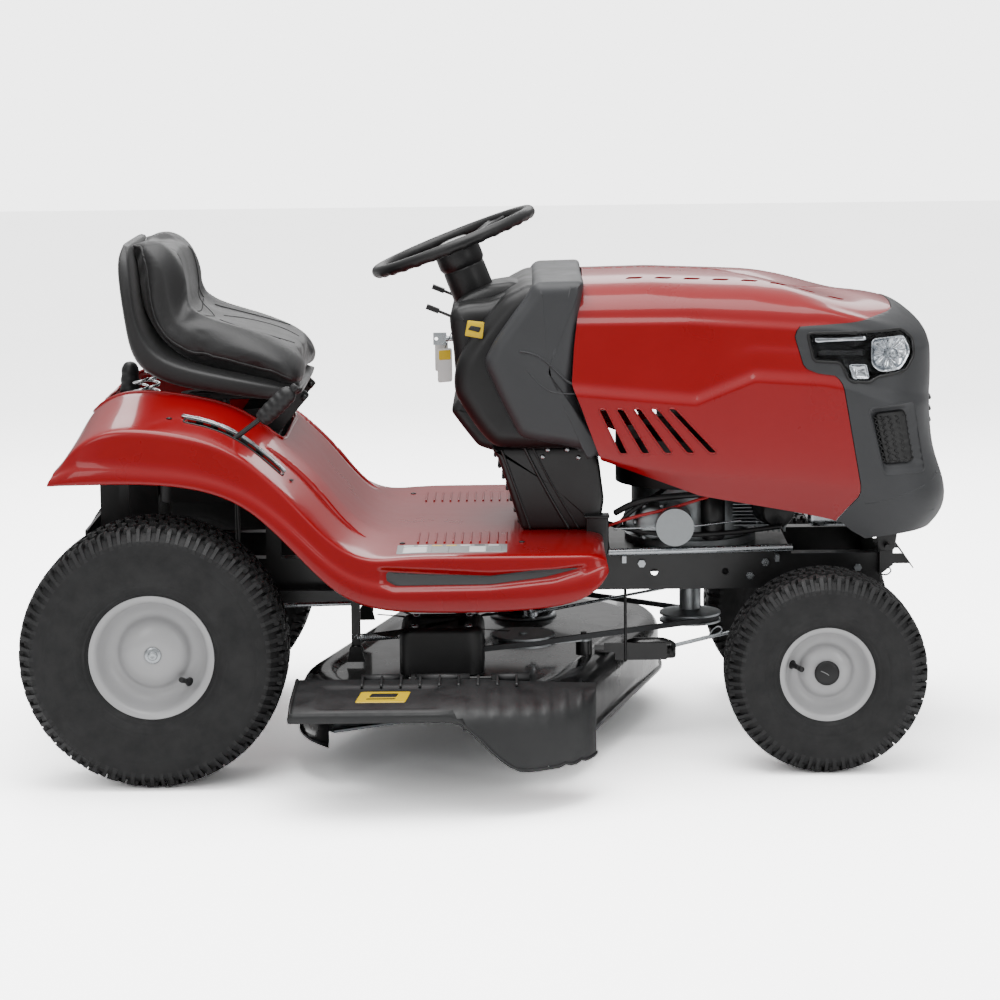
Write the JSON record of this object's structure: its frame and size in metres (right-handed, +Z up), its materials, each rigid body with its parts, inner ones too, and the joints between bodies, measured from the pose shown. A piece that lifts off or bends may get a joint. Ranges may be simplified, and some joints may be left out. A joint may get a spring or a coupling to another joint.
{
  "type": "riding lawn mower",
  "caption": "Ride-on lawn mower with a steel frame, tilting hood, sprung seat, steered front axle and a belt-driven side-discharge cutting deck.",
  "frame": {"origin": "middle of the footprint box, on the ground", "axes": "+X forward, +Y to the driver's left, +Z up"},
  "size_m": [1.799, 1.252, 1.068],
  "materials": {
    "red_paint": "gloss red enamel",
    "black_paint": "black powder coat",
    "grey_plastic": "moulded dark grey",
    "black_plastic": "moulded black",
    "rim_paint": "light grey enamel",
    "tyre": "turf tyre",
    "vinyl": "grained black vinyl",
    "cast_aluminium": "as cast",
    "steel": "zinc plated",
    "bright_steel": "bright plated",
    "belt_rubber": "fabric covered belt",
    "lens": "clear moulded lens",
    "grip": "soft black grip"
  },
  "bodies": {
    "chassis": {"frame_rails": "black_paint", "frame_plates": "black_paint", "front_guard": "black_paint", "frame_bolts": "steel", "control_rods": "steel", "engine_block": "cast_aluminium", "engine_shroud": "black_plastic", "muffler": "black_paint", "battery": "black_plastic", "fuel_tank": "black_plastic", "transaxle": "cast_aluminium", "drive_belt": "belt_rubber", "fender": "red_paint", "seat_bracket": "black_paint", "seat_springs": "bright_steel", "dash_console": "grey_plastic", "dash_panel": "black_plastic", "pedestal": "black_plastic", "column_tube": "black_plastic"},
    "fuel_cap": {"fuel_cap": "black_plastic"},
    "engine_pulley": {"engine_pulley": "steel"},
    "transaxle_pulley": {"transaxle_pulley": "steel"},
    "steering": {"steering_wheel": "grip", "steering_shaft": "steel"},
    "sector": {"steering_sector": "steel"},
    "front_axle": {"front_axle": "black_paint"},
    "knuckle_left": {"knuckle_left": "black_paint"},
    "knuckle_right": {"knuckle_right": "black_paint"},
    "tie_rod": {"tie_rod": "steel"},
    "drag_link": {"drag_link": "steel"},
    "hood": {"hood_shell": "red_paint", "hood_cowl": "grey_plastic", "headlight_lenses": "lens"},
    "seat": {"seat_pan": "black_plastic", "seat_cushion": "vinyl"},
    "deck": {"deck_shell": "black_paint", "deck_fittings": "black_paint", "belt_cover": "black_plastic", "deck_belt": "belt_rubber"},
    "blade_left": {"blade_left": "black_paint"},
    "blade_right": {"blade_right": "black_paint"},
    "idler_arm": {"idler_arm": "black_paint"},
    "idler_pulley": {"idler_pulley": "bright_steel"},
    "chute": {"chute": "black_plastic"},
    "lift_lever": {"lift_lever": "grip"},
    "lift_links": {"lift_links": "steel"},
    "front_link": {"front_link": "steel"},
    "clutch_pedal": {"clutch_pedal": "black_paint"},
    "shift_lever": {"shift_lever": "grip"},
    "throttle_lever": {"throttle_lever": "black_plastic"},
    "blade_lever": {"blade_lever": "black_plastic"},
    "ignition_key": {"ignition_key": "black_plastic"},
    "wheel_rear_left": {"tyre_rear_left": "tyre", "rim_rear_left": "rim_paint"},
    "wheel_rear_right": {"tyre_rear_right": "tyre", "rim_rear_right": "rim_paint"},
    "wheel_front_left": {"tyre_front_left": "tyre", "rim_front_left": "rim_paint"},
    "wheel_front_right": {"tyre_front_right": "tyre", "rim_front_right": "rim_paint"}
  },
  "joints": [
    {"name": "steering", "type": "hinge", "parent": "chassis", "child": "steering", "pos_m": [-0.0765, 0.079, 0.997], "axis": [-0.3584, 0, 0.9336], "range_deg": [-130, 130]},
    {"name": "sector", "type": "hinge", "parent": "chassis", "child": "sector", "pos_m": [0.13073, 0.079, 0.27855], "axis": [-0.3584, 0, 0.9336], "range_deg": [-26.2, 26.2]},
    {"name": "axle_rock", "type": "hinge", "parent": "chassis", "child": "front_axle", "pos_m": [0.6345, 0.079, 0.25346], "axis": [1, 0, 0], "range_deg": [-4, 4]},
    {"name": "steer_left", "type": "hinge", "parent": "front_axle", "child": "knuckle_left", "pos_m": [0.6345, 0.319, 0.194], "axis": [0, 0, 1], "range_deg": [-26.2, 26.2]},
    {"name": "steer_right", "type": "hinge", "parent": "front_axle", "child": "knuckle_right", "pos_m": [0.6345, -0.161, 0.194], "axis": [0, 0, 1], "range_deg": [-26.2, 26.2]},
    {"name": "tie_rod", "type": "hinge", "parent": "knuckle_left", "child": "tie_rod", "pos_m": [0.5645, 0.319, 0.2787], "axis": [0, 0, 1], "range_deg": [-26.2, 26.2]},
    {"name": "drag_link", "type": "hinge", "parent": "knuckle_left", "child": "drag_link", "pos_m": [0.5645, 0.319, 0.2787], "axis": [0, 0, 1], "range_deg": [-26.2, 26.2]},
    {"name": "spin_front_left", "type": "hinge", "parent": "knuckle_left", "child": "wheel_front_left", "pos_m": [0.6345, 0.413, 0.194], "axis": [0, 1, 0], "continuous": true},
    {"name": "spin_front_right", "type": "hinge", "parent": "knuckle_right", "child": "wheel_front_right", "pos_m": [0.6345, -0.255, 0.194], "axis": [0, 1, 0], "continuous": true},
    {"name": "spin_rear_left", "type": "hinge", "parent": "chassis", "child": "wheel_rear_left", "pos_m": [-0.6455, 0.462, 0.254], "axis": [0, 1, 0], "continuous": true},
    {"name": "spin_rear_right", "type": "hinge", "parent": "chassis", "child": "wheel_rear_right", "pos_m": [-0.6455, -0.304, 0.254], "axis": [0, 1, 0], "continuous": true},
    {"name": "hood_tilt", "type": "hinge", "parent": "chassis", "child": "hood", "pos_m": [0.7665, 0.079, 0.409], "axis": [0, 1, 0], "range_deg": [0, 60]},
    {"name": "seat_tilt", "type": "hinge", "parent": "chassis", "child": "seat", "pos_m": [-0.3735, 0.079, 0.7], "axis": [0, 1, 0], "range_deg": [0, 55]},
    {"name": "deck_lift", "type": "slide", "parent": "chassis", "child": "deck", "axis": [0, 0, 1], "range_m": [-0.04, 0.025], "deforming": ["deck_belt"]},
    {"name": "lift_lever", "type": "hinge", "parent": "chassis", "child": "lift_lever", "pos_m": [-0.4955, 0.079, 0.321], "axis": [0, 1, 0], "range_deg": [-6.55, 10.42]},
    {"name": "lift_links", "type": "hinge", "parent": "lift_lever", "child": "lift_links", "pos_m": [-0.2735, 0.079, 0.321], "axis": [0, 1, 0], "range_deg": [-10.42, 6.55]},
    {"name": "front_link", "type": "hinge", "parent": "chassis", "child": "front_link", "pos_m": [0.5345, -0.046, 0.24], "axis": [0, 1, 0], "range_deg": [-11.23, 7.05]},
    {"name": "chute", "type": "hinge", "parent": "deck", "child": "chute", "pos_m": [-0.0755, -0.403, 0.214], "axis": [-1, 0, 0], "range_deg": [0, 75], "stiffness_Nm_per_rad": 1.2, "springref_deg": -68.75},
    {"name": "engine_pulley", "type": "hinge", "parent": "chassis", "child": "engine_pulley", "pos_m": [0.3935, 0.079, 0.232], "axis": [0, 0, 1], "continuous": true},
    {"name": "transaxle_pulley", "type": "hinge", "parent": "chassis", "child": "transaxle_pulley", "pos_m": [-0.6055, 0.079, 0.34], "axis": [0, 0, 1], "continuous": true},
    {"name": "blade_left", "type": "hinge", "parent": "deck", "child": "blade_left", "pos_m": [0.0545, 0.341, 0.232], "axis": [0, 0, 1], "continuous": true},
    {"name": "blade_right", "type": "hinge", "parent": "deck", "child": "blade_right", "pos_m": [-0.0905, -0.186, 0.232], "axis": [0, 0, 1], "continuous": true},
    {"name": "idler_pulley", "type": "hinge", "parent": "idler_arm", "child": "idler_pulley", "pos_m": [0.0545, -0.126, 0.232], "axis": [0, 0, 1], "continuous": true},
    {"name": "blade_lever", "type": "hinge", "parent": "chassis", "child": "blade_lever", "pos_m": [-0.0455, 0.214, 0.862], "axis": [0, 1, 0], "range_deg": [-22, 0]},
    {"name": "idler_arm", "type": "hinge", "parent": "deck", "child": "idler_arm", "pos_m": [0.1745, -0.086, 0.232], "axis": [0, 0, 1], "range_deg": [-6.7, 0.1]},
    {"name": "throttle_lever", "type": "hinge", "parent": "chassis", "child": "throttle_lever", "pos_m": [-0.0555, -0.051, 0.85], "axis": [0, 1, 0], "range_deg": [-22, 4]},
    {"name": "ignition_key", "type": "hinge", "parent": "chassis", "child": "ignition_key", "pos_m": [-0.0775, -0.013, 0.812], "axis": [1, 0, 0], "range_deg": [-90, 0]},
    {"name": "clutch_pedal", "type": "hinge", "parent": "chassis", "child": "clutch_pedal", "pos_m": [0.1545, 0.079, 0.366], "axis": [0, 1, 0], "range_deg": [0, 14], "stiffness_Nm_per_rad": 8, "springref_deg": -20.05},
    {"name": "shift_lever", "type": "hinge", "parent": "chassis", "child": "shift_lever", "pos_m": [-0.6855, 0.229, 0.42], "axis": [0, 1, 0], "range_deg": [-3, 8]},
    {"name": "fuel_cap", "type": "hinge", "parent": "chassis", "child": "fuel_cap", "pos_m": [-0.5745, 0.029, 0.69], "axis": [0, 0, 1], "range_deg": [-90, 0]}
  ],
  "couplings": [
    {"joint": "sector", "follows": "steering", "ratio": 0.2},
    {"joint": "steer_left", "follows": "steering", "ratio": 0.2},
    {"joint": "steer_right", "follows": "steering", "ratio": 0.2},
    {"joint": "tie_rod", "follows": "steering", "ratio": -0.2},
    {"joint": "drag_link", "follows": "steering", "ratio": -0.2},
    {"joint": "lift_lever", "follows": "deck_lift", "rad_per_m": -4.5045},
    {"joint": "lift_links", "follows": "deck_lift", "rad_per_m": 4.5045},
    {"joint": "front_link", "follows": "deck_lift", "rad_per_m": 4.8544},
    {"joint": "transaxle_pulley", "follows": "engine_pulley", "ratio": 0.71429},
    {"joint": "blade_left", "follows": "engine_pulley", "ratio": 0.83333},
    {"joint": "blade_right", "follows": "engine_pulley", "ratio": 0.83333},
    {"joint": "idler_pulley", "follows": "engine_pulley", "ratio": 1},
    {"joint": "idler_arm", "follows": "blade_lever", "ratio": 0.3}
  ]
}
